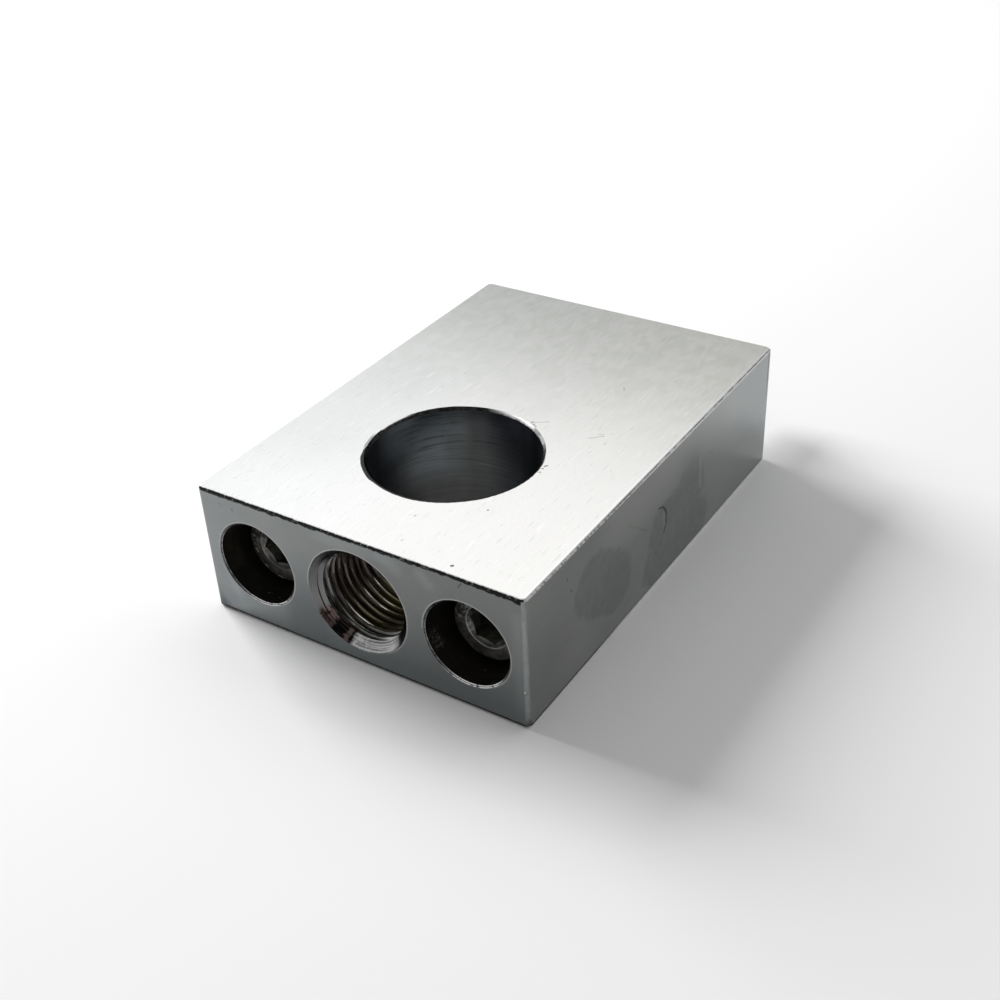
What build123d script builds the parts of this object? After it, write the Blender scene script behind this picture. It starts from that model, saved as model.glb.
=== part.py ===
from build123d import *
import os
from math import cos, pi, radians, tan

# A ground steel mounting collar: a block with an upright shaft bore, a threaded port that opens from the
# front face into the bore, and two long socket head cap screws that hold the block by its back face.
# Millimetres. The origin is where the bore's axis crosses the port's axis, at the block's mid-height.
# +Z runs up the bore, and +Y runs from the front face to the back face.

# Shaft bore
bore_diameter = 30.0
bore_edge_break = 0.5

# Threaded port, M18 x 1.5
port_major_diameter = 18.0
port_pitch = 1.5
internal_thread_depth = 1.0825          # share of the pitch between major and minor diameter
port_minor_diameter = port_major_diameter - internal_thread_depth * port_pitch
port_mouth_margin = 0.8                 # mouth cone past the major diameter, on the radius
port_mouth_angle = 90.0
port_mouth_diameter = port_major_diameter + 2 * port_mouth_margin

# Socket head cap screws, M8
screw_diameter = 8.0
screw_reach = 13.5                      # screw end past the back face
screw_end_chamfer = 0.8
head_diameter = 13.0
head_height = 8.0
head_bevel = 0.5
head_foot_bevel = 0.3
neck_fillet = 0.4
socket_sides = 6
socket_width = 6.0                      # across the flats
socket_depth = 4.2
socket_lead_in_margin = 0.5             # lead-in cone past the hexagon's corners, on the radius
socket_lead_in_angle = 120.0
socket_point_angle = 120.0
socket_turns = (-10.0, 12.0)            # where each screw stopped when it was tightened, in degrees
screw_settling = ((0.1, -0.25), (0.25, -0.4))   # off the hole's axis along X and Z, within the clearance

# Holes for the screws
shank_clearance = 0.5                   # on the radius
head_clearance = 1.25                   # on the radius
head_recess = 5.5                       # head top below the front face
counterbore_rim_chamfer = 0.3
hole_exit_chamfer = 0.3
seat_relief = 0.6                       # chamfer under the head, clear of the neck's fillet
shank_hole_diameter = screw_diameter + 2 * shank_clearance
counterbore_diameter = head_diameter + 2 * head_clearance
seat_depth = head_recess + head_height

# Walls round the holes, which set the block's size
bore_side_wall = 1.5                    # between the bore and each shank hole
outer_side_wall = 3.25                  # between each counterbore and the block's side
cheek_wall = 2.7                        # above and below the port's mouth
bore_front_wall = 14.5
bore_back_wall = 45.5
face_chamfer = 0.4
upright_round = 1.0

screw_spacing = bore_diameter + shank_hole_diameter + 2 * bore_side_wall
block_width = screw_spacing + counterbore_diameter + 2 * outer_side_wall
block_length = bore_front_wall + bore_diameter + bore_back_wall
block_height = port_mouth_diameter + 2 * cheek_wall

front_y = -bore_diameter / 2 - bore_front_wall
back_y = front_y + block_length
head_top_y = front_y + head_recess
seat_y = front_y + seat_depth
screw_end_y = back_y + screw_reach
front_plane = Plane(origin=(0, front_y, 0), x_dir=(1, 0, 0), z_dir=(0, -1, 0))
head_plane = Plane(origin=(0, head_top_y, 0), x_dir=(1, 0, 0), z_dir=(0, -1, 0))


# Block
with BuildPart() as collar_block:
    with BuildSketch(Plane.XY.offset(-block_height / 2)):
        with Locations((0, (front_y + back_y) / 2)):
            Rectangle(block_width, block_length)
    extrude(amount=block_height)
    fillet(collar_block.edges().filter_by(Axis.Z), upright_round)
    chamfer(collar_block.faces().filter_by(Axis.Z).edges(), face_chamfer)

    # the bore, its mouths broken top and bottom
    Hole(bore_diameter / 2)
    chamfer(collar_block.edges(Select.LAST).filter_by(GeomType.CIRCLE), bore_edge_break)

    # counterbored holes, right through to the back face
    with Locations(front_plane):
        with GridLocations(screw_spacing, 1, 2, 1):
            CounterBoreHole(shank_hole_diameter / 2, counterbore_diameter / 2, seat_depth)
    front_face = collar_block.faces().sort_by(Axis.Y)[0]
    chamfer(front_face.edges().filter_by(GeomType.CIRCLE), counterbore_rim_chamfer)
    back_face = collar_block.faces().sort_by(Axis.Y)[-1]
    chamfer(back_face.edges().filter_by(GeomType.CIRCLE), hole_exit_chamfer)
    seats = collar_block.faces().filter_by(Axis.Y).sort_by(Axis.Y)[1:-1]
    chamfer(seats.edges().group_by(SortBy.RADIUS)[0], seat_relief)

    # the port at its minor diameter, from its coned mouth into the bore
    with Locations(front_plane):
        CounterSinkHole(port_minor_diameter / 2, port_mouth_diameter / 2, -front_y, port_mouth_angle)

collar_block.part.label = "collar_block"


# Cap screw, on the Y axis
shank_radius = screw_diameter / 2
head_radius = head_diameter / 2
socket_corner_radius = socket_width / 2 / cos(pi / socket_sides)
lead_in_radius = socket_corner_radius + socket_lead_in_margin
lead_in_slope = 1 / tan(radians(socket_lead_in_angle / 2))
socket_point_depth = socket_width / 2 / tan(radians(socket_point_angle / 2))
neck_top = (shank_radius, seat_y + neck_fillet)
neck_foot = (shank_radius + neck_fillet, seat_y)
base_centred = (Align.CENTER, Align.CENTER, Align.MIN)

with BuildPart() as cap_screw:
    with BuildSketch(Plane.XY):
        with BuildLine():
            Polyline(
                neck_top,
                (shank_radius, screw_end_y - screw_end_chamfer),
                (shank_radius - screw_end_chamfer, screw_end_y),
                (0, screw_end_y),
                (0, head_top_y + lead_in_radius * lead_in_slope),
                (lead_in_radius, head_top_y),
                (head_radius - head_bevel, head_top_y),
                (head_radius, head_top_y + head_bevel),
                (head_radius, seat_y - head_foot_bevel),
                (head_radius - head_foot_bevel, seat_y),
                neck_foot,
            )
            RadiusArc(neck_foot, neck_top, neck_fillet)
        make_face()
    revolve(axis=Axis.Y)

    # hexagon socket with a drill point at its bottom
    with BuildSketch(head_plane):
        RegularPolygon(socket_width / 2, socket_sides, major_radius=False)
    extrude(amount=-socket_depth, mode=Mode.SUBTRACT)
    with Locations(head_plane.offset(-socket_depth)):
        point = (socket_width / 2, 0, socket_point_depth)
        Cone(*point, rotation=(180, 0, 0), align=base_centred, mode=Mode.SUBTRACT)

# Both screws, each in its own counterbore
with BuildPart() as cap_screws:
    for side, turn, (settled_x, settled_z) in zip((-1, 1), socket_turns, screw_settling):
        with Locations(Location((side * screw_spacing / 2 + settled_x, 0, settled_z), (0, turn, 0))):
            add(cap_screw.part)

cap_screws.part.label = "cap_screws"


os.makedirs("parts", exist_ok=True)
export_step(collar_block.part, "parts/collar_block.step")
export_step(cap_screws.part, "parts/cap_screws.step")
print(f"block {block_width:g} x {block_length:g} x {block_height:g} mm")
print(f"screws {screw_end_y - seat_y:g} mm under the head, {screw_spacing:g} mm apart")
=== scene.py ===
import bpy
import math
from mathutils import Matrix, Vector


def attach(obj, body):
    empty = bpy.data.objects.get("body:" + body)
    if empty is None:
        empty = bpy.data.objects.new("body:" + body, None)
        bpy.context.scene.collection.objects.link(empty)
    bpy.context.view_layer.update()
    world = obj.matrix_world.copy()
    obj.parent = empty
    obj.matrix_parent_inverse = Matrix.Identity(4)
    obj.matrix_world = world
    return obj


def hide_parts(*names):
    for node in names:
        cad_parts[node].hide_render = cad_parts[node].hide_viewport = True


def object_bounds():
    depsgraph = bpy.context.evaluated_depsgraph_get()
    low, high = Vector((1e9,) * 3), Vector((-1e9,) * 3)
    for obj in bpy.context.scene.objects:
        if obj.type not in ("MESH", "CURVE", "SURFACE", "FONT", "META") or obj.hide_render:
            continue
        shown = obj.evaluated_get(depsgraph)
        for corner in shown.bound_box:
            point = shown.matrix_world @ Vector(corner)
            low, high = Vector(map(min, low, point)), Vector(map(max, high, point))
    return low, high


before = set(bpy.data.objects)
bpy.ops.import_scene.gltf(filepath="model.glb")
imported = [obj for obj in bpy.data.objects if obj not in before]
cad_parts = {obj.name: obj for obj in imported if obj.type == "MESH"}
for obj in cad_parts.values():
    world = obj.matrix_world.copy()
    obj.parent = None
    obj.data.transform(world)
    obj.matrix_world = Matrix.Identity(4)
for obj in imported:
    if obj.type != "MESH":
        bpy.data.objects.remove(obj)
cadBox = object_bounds()
mm = 0.001

# what a new look at the same block would change
view = {
    "place": (115.776, -158.967, 132.365),
    "turn": (56.4522, 2.3712, 32.3847),
    "lens": 48.762, "sensor": 36, "nearest": 10,
}

# a window low on the left, and a wide panel above and behind that the ground top mirrors
lights = {
    "worldLevel": 0.24, "worldSeen": 0.47, "aim": (0, 15, 0),
    "windowPlace": (-852, 156, 500), "windowSize": (503, 503), "windowPower": 13.8,
    "panelPlace": (15, 640, 764), "panelSize": (1900, 617), "panelPower": 2.95,
}

floorLook = {
    "size": 8000,
    "colour": (0.93, 0.93, 0.93, 1), "roughness": 0.9,
    "seenShare": 0.05,
}

# M18 x 1.5 in the port, cut from in front of the face until it opens into the bore
portThread = {
    "rootRadius": 9.0, "rootHalfWidth": 0.094,
    "openRadius": 8.0, "openHalfWidth": 0.671,
    "pitch": 1.5, "start": -30.6, "turns": 13, "steps": 96,
}

# M8 x 1.25 on the last 28 mm of each screw
screwThread = {
    "rootRadius": 3.233, "rootHalfWidth": 0.104,
    "openRadius": 4.1, "openHalfWidth": 0.605,
    "pitch": 1.25, "start": 46.0, "turns": 24, "steps": 60,
    "centres": ((-20.9, -0.25), (21.25, -0.4)),
}

# where the block's faces and holes lie, and how flat and slanted faces are told apart, for their finishes
blockPlan = {
    "front": -29.5, "boreRadius": 15.0, "betweenHoles": 11.5,
    "portRadius": 9.85, "portRim": 9.8, "portReach": 9.5, "portMouthEnd": -27.7, "portEnd": -11.9,
    "counterboreCentre": 21.0, "counterboreRadius": 7.75, "counterboreRim": 8.05, "seat": -16.0,
    "rimReach": 0.6, "near": 0.1, "square": 0.99, "slanted": 0.707,
}

mergeReach = 0.002 * mm
sliverSize = 0.0005 * mm
smoothBelow = math.radians(25)


def selectOnly(piece):
    if bpy.context.mode != "OBJECT":
        bpy.ops.object.mode_set(mode="OBJECT")
    bpy.ops.object.select_all(action="DESELECT")
    piece.select_set(True)
    bpy.context.view_layer.objects.active = piece


def openMesh(piece):
    selectOnly(piece)
    bpy.ops.object.mode_set(mode="EDIT")
    bpy.ops.mesh.select_all(action="SELECT")


def closeMesh():
    bpy.ops.object.mode_set(mode="OBJECT")


def copyNode(nodeName, pieceName):
    # the CAD mesh is loose triangles, so the copy is merged before it is worked on
    piece = bpy.data.objects.new(pieceName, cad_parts[nodeName].data.copy())
    piece.data.name = pieceName
    piece.data.materials.clear()
    bpy.context.scene.collection.objects.link(piece)
    selectOnly(piece)
    bpy.ops.mesh.customdata_custom_splitnormals_clear()
    openMesh(piece)
    bpy.ops.mesh.remove_doubles(threshold=mergeReach)
    closeMesh()
    return piece


def threadCutter(name, plan, centreX=0.0, centreZ=0.0):
    # a four-cornered tooth, wound along Y into a closed coil
    bpy.ops.mesh.primitive_plane_add(size=1)
    cutter = bpy.context.object
    cutter.name = name
    for vertex in cutter.data.vertices:
        end = "root" if vertex.co.x > 0 else "open"
        halfWidth = math.copysign(plan[end + "HalfWidth"], vertex.co.y)
        vertex.co = (plan[end + "Radius"] * mm, halfWidth * mm, 0)
    openMesh(cutter)
    bpy.ops.mesh.delete(type="ONLY_FACE")
    closeMesh()
    winding = cutter.modifiers.new("Winding", "SCREW")
    winding.axis = "Y"
    winding.angle = 2 * math.pi
    winding.screw_offset = plan["pitch"] * mm
    winding.iterations = plan["turns"]
    winding.steps = plan["steps"]
    winding.render_steps = plan["steps"]
    bpy.ops.object.modifier_apply(modifier="Winding")
    openMesh(cutter)
    bpy.ops.mesh.fill_holes(sides=4)
    bpy.ops.mesh.normals_make_consistent(inside=False)
    closeMesh()
    cutter.location = (centreX * mm, plan["start"] * mm, centreZ * mm)
    bpy.ops.object.transform_apply(location=True, rotation=True, scale=True)
    return cutter


def cutWith(piece, cutter):
    cut = piece.modifiers.new("Cut", "BOOLEAN")
    cut.operation = "DIFFERENCE"
    cut.solver = "EXACT"
    cut.object = cutter
    selectOnly(piece)
    bpy.ops.object.modifier_apply(modifier="Cut")
    bpy.data.objects.remove(cutter)


def addNode(tree, kind, inputs, **settings):
    made = tree.nodes.new("ShaderNode" + kind)
    for name, value in settings.items():
        setattr(made, name, value)
    for socket, value in inputs.items():
        if isinstance(value, bpy.types.NodeSocket):
            tree.links.new(value, made.inputs[socket])
        else:
            made.inputs[socket].default_value = value
    return made


def grain(tree, scale, detail=3.0, roughness=0.55, offset=(0, 0, 0)):
    # noise in the piece's own space: waves per millimetre, the same all ways or along X, Y and Z
    stretch = scale if isinstance(scale, tuple) else (scale, scale, scale)
    coords = tree.nodes["Millimetres"].outputs[0]
    mapping = addNode(tree, "Mapping", {"Vector": coords, "Scale": stretch, "Location": offset})
    noise = addNode(tree, "TexNoise", {"Vector": mapping.outputs[0], "Scale": 1.0, "Detail": detail,
                                       "Roughness": roughness})
    return noise.outputs["Fac"]


def axes(tree):
    # X, Y and Z of the piece in millimetres
    return [tree.nodes["Axes"].outputs[name] for name in "XYZ"]


def calc(tree, operation, first, second=0.0):
    return addNode(tree, "Math", {0: first, 1: second}, operation=operation).outputs[0]


def spread(tree, value, low, high, toLow=0.0, toHigh=1.0):
    node = addNode(tree, "MapRange", {"Value": value, "From Min": low, "From Max": high,
                                      "To Min": toLow, "To Max": toHigh})
    return node.outputs["Result"]


def band(tree, value, centre, halfWidth, soft):
    # 1 near the centre, falling to 0 over the soft margin
    away = calc(tree, "ABSOLUTE", calc(tree, "SUBTRACT", value, centre))
    return spread(tree, away, halfWidth, halfWidth + soft, 1.0, 0.0)


def both(tree, first, second):
    return calc(tree, "MULTIPLY", first, second)


def wobbled(tree, value, noise, amount):
    return calc(tree, "ADD", value, calc(tree, "MULTIPLY", calc(tree, "SUBTRACT", noise, 0.5), amount))


def blendColour(tree, share, first, second, kind="MIX"):
    node = addNode(tree, "Mix", {0: share, 6: first, 7: second}, data_type="RGBA", blend_type=kind)
    return node.outputs[2]


def tint(tree, share, colour, strength):
    # multiplies by one strength, or by one each for red, green and blue
    parts = strength if isinstance(strength, tuple) else (strength, strength, strength)
    return blendColour(tree, share, colour, (*parts, 1), "MULTIPLY")


def grey(level):
    return (level, level, level, 1)


def degrees(tree, up, across):
    # the angle round an axis, from the across direction toward the up direction
    return calc(tree, "MULTIPLY", calc(tree, "ARCTAN2", up, across), 180 / math.pi)


def polar(tree, across, up):
    # the distance from an axis, and the angle round it
    flat = addNode(tree, "CombineXYZ", {0: across, 1: up})
    radius = addNode(tree, "VectorMath", {0: flat.outputs[0]}, operation="LENGTH").outputs["Value"]
    return radius, degrees(tree, up, across)


def flatSpace(tree, first, second, shift=0.5, waves=0.9):
    # two of the axes as a flat drawing, a little shaken so that no line on it is ruled
    flat = addNode(tree, "CombineXYZ", {0: first, 1: second}).outputs[0]
    noise = addNode(tree, "TexNoise", {"Vector": flat, "Scale": waves, "Detail": 3.0})
    shake = noise.outputs["Color"]
    centred = addNode(tree, "VectorMath", {0: shake, 1: (0.5, 0.5, 0.5)}, operation="SUBTRACT")
    scaled = addNode(tree, "VectorMath", {0: centred.outputs[0], 1: (shift, shift, 0)}, operation="MULTIPLY")
    return addNode(tree, "VectorMath", {0: flat, 1: scaled.outputs[0]}, operation="ADD").outputs[0]


def stroke(tree, flat, start, end, width, soft):
    # 1 on a straight line between two points of the drawing, 0 beyond its width
    angle = math.atan2(end[1] - start[1], end[0] - start[0])
    middle = [(s + e) / 2 for s, e in zip(start, end)]
    shiftX = -middle[0] * math.cos(angle) - middle[1] * math.sin(angle)
    shiftY = middle[0] * math.sin(angle) - middle[1] * math.cos(angle)
    turned = addNode(tree, "Mapping", {"Vector": flat, "Rotation": (0, 0, -angle),
                                       "Location": (shiftX, shiftY, 0)})
    folded = addNode(tree, "VectorMath", {0: turned.outputs[0]}, operation="ABSOLUTE")
    past = addNode(tree, "VectorMath", {0: folded.outputs[0], 1: (math.dist(start, end) / 2, 0, 0)},
                   operation="SUBTRACT")
    outside = addNode(tree, "VectorMath", {0: past.outputs[0], 1: (0, 0, 0)}, operation="MAXIMUM")
    away = addNode(tree, "VectorMath", {0: outside.outputs[0]}, operation="LENGTH")
    return spread(tree, away.outputs["Value"], width / 2, width / 2 + soft, 1.0, 0.0)


def drawStrokes(tree, flat, strokes, soft):
    total = 0.0
    for start, end, width, strength in strokes:
        line = stroke(tree, flat, start, end, width, soft)
        total = calc(tree, "MAXIMUM", total, calc(tree, "MULTIPLY", line, strength))
    return total


def startMaterial(name, metallic=1.0):
    material = bpy.data.materials.new(name)
    material.use_nodes = True
    tree = material.node_tree
    coords = tree.nodes.new("ShaderNodeTexCoord")
    scaled = addNode(tree, "VectorMath", {0: coords.outputs["Object"], "Scale": 1 / mm}, operation="SCALE")
    scaled.name = "Millimetres"
    addNode(tree, "SeparateXYZ", {0: scaled.outputs[0]}).name = "Axes"
    shader = tree.nodes["Principled BSDF"]
    shader.inputs["Metallic"].default_value = metallic
    return material, tree, shader


def finishMaterial(tree, shader, colour, wear, height, bumpDepth):
    # wear is the noise that the roughness follows, and its lowest and highest roughness
    noise, lowest, highest = wear
    roughness = spread(tree, noise, 0.3, 0.7, lowest, highest)
    bump = addNode(tree, "Bump", {"Strength": 1.0, "Distance": bumpDepth * mm, "Height": height})
    tree.links.new(colour, shader.inputs["Base Color"])
    tree.links.new(roughness, shader.inputs["Roughness"])
    tree.links.new(bump.outputs["Normal"], shader.inputs["Normal"])


groundLook = {
    "dull": grey(0.76), "bright": grey(0.79), "glint": grey(0.92),
    "edgeHighlight": grey(0.90), "edgeHighlightAt": 31.48, "worn": grey(0.33), "broken": grey(0.02),
}

# where the top is marked, as start and end in X and Y, width and strength
topMarks = (
    ((17.9, -27.4), (18.0, -27.3), 0.36, 0.85),
    ((14.55, -12.25), (14.65, -12.2), 0.22, 0.7),
    ((5.2, -19.3), (5.3, -18.9), 0.15, 0.35),
    ((7.3, -25.7), (7.5, -25.4), 0.15, 0.3),
    ((17.8, 14.65), (19.7, 16.4), 0.12, 0.3),
    ((18.6, 16.5), (19.6, 16.9), 0.12, 0.25),
    ((14.65, 33.4), (15.15, 32.5), 0.14, 0.24),
    ((6.3, 14.3), (9.0, 16.3), 0.10, 0.35),
    ((6.2, 14.5), (6.6, 14.9), 0.2, 0.5),
    ((6.8, 14.1), (7.2, 14.2), 0.2, 0.55),
    ((7.4, 13.8), (7.8, 13.7), 0.2, 0.5),
    ((15.8, 3.3), (16.0, 3.6), 0.26, 0.75),
    ((15.8, 2.4), (16.0, 2.5), 0.22, 0.6),
    ((15.9, 1.2), (16.1, 1.3), 0.2, 0.5),
)


def groundSteel():
    # ground faces: fine short strokes along the block's length, greener toward the back
    look = groundLook
    material, tree, shader = startMaterial("groundSteel")
    x, y, z = axes(tree)
    fine = grain(tree, (3.4, 0.38, 3.4), 2)
    flecks = grain(tree, (2.4, 0.30, 2.4), 2, offset=(7, 3, 1))
    glints = grain(tree, (2.2, 0.18, 2.2), 2, offset=(1, 9, 4))
    clouds = grain(tree, (0.07, 0.035, 0.07))
    blots = grain(tree, (0.34, 0.26, 0.34), offset=(2, 5, 0))
    nibbled = grain(tree, 1.4)
    far = spread(tree, y, 5, 45)
    colour = blendColour(tree, spread(tree, fine, 0.3, 0.7), look["dull"], look["bright"])
    colour = tint(tree, spread(tree, clouds, 0.4, 0.6), colour, 0.985)
    colour = tint(tree, both(tree, far, spread(tree, blots, 0.44, 0.58)), colour, (0.945, 0.955, 0.935))
    colour = tint(tree, far, colour, (0.995, 1.005, 0.98))
    colour = tint(tree, spread(tree, x, -20, 28), colour, (1.0, 0.995, 0.975))
    colour = tint(tree, spread(tree, x, 10, -28), colour, (0.985, 0.995, 1.0))
    besideBore = both(tree, spread(tree, x, -6, -20), band(tree, y, 4, 12, 14))
    colour = tint(tree, besideBore, colour, (0.93, 0.94, 0.935))
    darkFlecks = both(tree, spread(tree, flecks, 0.63, 0.72), spread(tree, y, 42, 18))
    colour = tint(tree, darkFlecks, colour, (0.86, 0.865, 0.86))
    # painted glints: short pale strokes standing in for highlights
    paintedGlints = both(tree, spread(tree, glints, 0.64, 0.74), spread(tree, y, 25, 50, 0.4, 0.12))
    colour = blendColour(tree, paintedGlints, colour, look["glint"])
    # a painted highlight along the top's right edge
    edgeHighlight = band(tree, x, look["edgeHighlightAt"], 0.10, 0.10)
    colour = blendColour(tree, both(tree, edgeHighlight, 0.7), colour, look["edgeHighlight"])
    # the bore's ragged outline, which bulges where burrs broke off
    above = spread(tree, z, 0, 1)
    marks = drawStrokes(tree, flatSpace(tree, x, y), topMarks, 0.12)
    radius, angle = polar(tree, x, y)
    ragged = wobbled(tree, radius, nibbled, 0.22)
    bulge = calc(tree, "MAXIMUM", both(tree, band(tree, angle, -132, 13, 14), 0.46),
                 both(tree, band(tree, angle, -102, 18, 32), 0.22))
    leftEnd = band(tree, calc(tree, "ABSOLUTE", angle), 172, 10, 8)
    bulge = calc(tree, "SUBTRACT", bulge, both(tree, leftEnd, 0.22))
    nearSide = spread(tree, calc(tree, "ABSOLUTE", calc(tree, "SUBTRACT", angle, 70)), 46, 56)
    brokenEdge = both(tree, nearSide, spread(tree, calc(tree, "SUBTRACT", ragged, bulge), 15.68, 15.57))
    wornEdge = both(tree, band(tree, angle, -164, 6, 5), spread(tree, ragged, 16.02, 15.88))
    colour = blendColour(tree, both(tree, above, wornEdge), colour, look["worn"])
    broken = both(tree, above, calc(tree, "MAXIMUM", marks, brokenEdge))
    colour = blendColour(tree, broken, colour, look["broken"])
    finishMaterial(tree, shader, colour, (fine, 0.20, 0.23), fine, 0.0004)
    return material


sideLook = {
    "dark": (0.275, 0.285, 0.28, 1), "light": (0.315, 0.325, 0.315, 1), "lifted": (0.37, 0.38, 0.37, 1),
    "scratch": grey(0.01), "streak": grey(0.42), "rearLine": grey(0.05), "rearLineAt": 59.0,
    "footHighlights": (grey(0.44), grey(0.56)), "footHighlightAt": -12.06, "footShadeAt": -11.55,
    "nearFootShadow": grey(0.03), "nearFootShadowAt": -12.0, "topEdgeHighlight": grey(0.60), "topEdgeHighlightFrom": (11.90, 12.0),
}

# on the right side, in Y and Z: finger marks, scratches and two light streaks, which are painted highlights
sideSmudges = (
    ((-9.5, 2.4), (-2.0, -2.4), 10.5, 0.68),
    ((12.8, -7.6), (29.0, -8.4), 8.4, 0.75),
    ((15.0, -1.5), (27.0, -0.8), 8.4, 0.75),
    ((23.5, 2.6), (27.0, 3.4), 5.0, 0.6),
)
sideMarks = (
    ((13.4, 3.3), (14.8, 2.8), 0.22, 0.7),
    ((14.8, 2.8), (15.8, 1.9), 0.30, 0.85),
    ((15.8, 1.9), (16.4, 0.6), 0.34, 0.9),
    ((16.4, 0.6), (16.4, -1.2), 0.34, 0.9),
    ((16.4, -1.2), (15.6, -2.9), 0.28, 0.8),
    ((14.7, -4.0), (14.6, -4.9), 0.2, 0.4),
    ((2.9, 6.1), (9.2, 1.3), 0.22, 0.15),
    ((-17.4, 8.6), (-17.3, 8.4), 0.3, 0.4),
    ((-16.6, 6.0), (-15.8, 5.2), 0.2, 0.25),
    ((12.8, -5.4), (12.9, -5.5), 0.3, 0.4),
)
sideHighlightStreaks = (
    ((29.5, 4.4), (30.1, -1.6), 0.35, 0.45),
    ((15.3, 1.2), (15.7, -1.4), 0.22, 0.3),
)


def satinSides():
    # the milled long sides: darker, with soft clouds, bluer toward the back
    look = sideLook
    material, tree, shader = startMaterial("satinSides")
    x, y, z = axes(tree)
    fine = grain(tree, (1.6, 1.6, 6.0))
    clouds = grain(tree, (0.08, 0.06, 0.12))
    nibbled = grain(tree, (1.0, 0.8, 1.0))
    colour = blendColour(tree, spread(tree, clouds, 0.35, 0.65), look["dark"], look["light"])
    colour = tint(tree, spread(tree, y, 20, 55), colour, (0.97, 1.0, 1.03))
    colour = tint(tree, spread(tree, fine, 0.35, 0.65), colour, 0.96)
    # painted shade: darker at the near end, low down
    nearEnd = both(tree, spread(tree, y, -14, -22), spread(tree, z, 8, 1))
    colour = tint(tree, nearEnd, colour, (0.84, 0.84, 0.85))
    colour = tint(tree, spread(tree, y, 42, 54), colour, 0.93)
    lifted = both(tree, band(tree, y, 8, 10, 8), spread(tree, z, 2, 8))
    colour = blendColour(tree, both(tree, lifted, 0.8), colour, look["lifted"])
    right = spread(tree, x, 0, 1)
    flat = flatSpace(tree, y, z)
    rubbed = drawStrokes(tree, flatSpace(tree, y, z, 3.2, 0.28), sideSmudges, 1.0)
    uneven = spread(tree, grain(tree, 0.5), 0.3, 0.6, 0.6, 1.0)
    smudges = both(tree, both(tree, right, rubbed), uneven)
    colour = tint(tree, smudges, colour, (0.64, 0.66, 0.66))
    # scratches, then the light streaks, which are painted highlights
    for strokes, soft, finish in ((sideMarks, 0.12, "scratch"), (sideHighlightStreaks, 0.4, "streak")):
        drawn = both(tree, right, drawStrokes(tree, flat, strokes, soft))
        colour = blendColour(tree, drawn, colour, look[finish])
    # thin lines along the foot, the top and the rear
    low = wobbled(tree, z, nibbled, 0.25)
    backPart = spread(tree, y, -9, 0)
    rightBack = both(tree, right, backPart)
    # a painted highlight along the foot, with painted shade just above it
    footLine = both(tree, rightBack, band(tree, low, look["footHighlightAt"], 0.16, 0.12))
    footHighlight = blendColour(tree, spread(tree, y, 20, 50), *look["footHighlights"])
    colour = blendColour(tree, footLine, colour, footHighlight)
    footShade = both(tree, rightBack, band(tree, low, look["footShadeAt"], 0.12, 0.12))
    colour = tint(tree, footShade, colour, (0.76, 0.76, 0.77))
    # a painted contact shadow along the near part of the foot
    rightFront = calc(tree, "SUBTRACT", right, backPart)
    nearFootShadow = both(tree, rightFront, band(tree, low, look["nearFootShadowAt"], 0.18, 0.10))
    colour = blendColour(tree, nearFootShadow, colour, look["nearFootShadow"])
    # a painted highlight along the side's top edge
    high = spread(tree, wobbled(tree, z, nibbled, 0.08), *look["topEdgeHighlightFrom"])
    topEdgeHighlight = both(tree, both(tree, right, spread(tree, y, -2, 12)), high)
    colour = blendColour(tree, both(tree, topEdgeHighlight, 0.8), colour, look["topEdgeHighlight"])
    rearLine = band(tree, wobbled(tree, y, nibbled, 0.3), look["rearLineAt"], 0.10, 0.08)
    colour = blendColour(tree, both(tree, spread(tree, z, 2, 6), rearLine), colour, look["rearLine"])
    finishMaterial(tree, shader, colour, (clouds, 0.27, 0.33), fine, 0.001)
    return material


endLook = {
    "left": (0.252, 0.262, 0.262, 1), "right": (0.168, 0.176, 0.172, 1),
    "streak": (0.36, 0.38, 0.39, 1), "mark": grey(0.02), "lipHighlight": grey(0.36), "lipShadow": grey(0.03),
    "footLine": grey(0.02), "footLineAt": -11.98, "strip": grey(0.012), "stripFrom": (11.76, 11.94),
}

# on the front, in X and Z
frontMarks = (
    ((20.9, 11.6), (20.3, 10.7), 0.16, 0.5),
    ((-24.6, 10.1), (-24.4, 9.9), 0.22, 0.4),
    ((-27.4, 10.4), (-26.7, 10.2), 0.2, 0.15),
)
frontStreaks = (
    ((-27.9, -2.6), (-26.6, -7.6), 0.4, 0.22),
    ((-29.6, -9.4), (-28.0, -11.2), 0.5, 0.20),
    ((6.0, 11.6), (8.6, 9.9), 0.7, 0.14),
    ((13.4, 10.6), (14.6, 9.2), 0.5, 0.15),
    ((30.6, 8.5), (30.7, -8.5), 0.3, 0.12),
)


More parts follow.
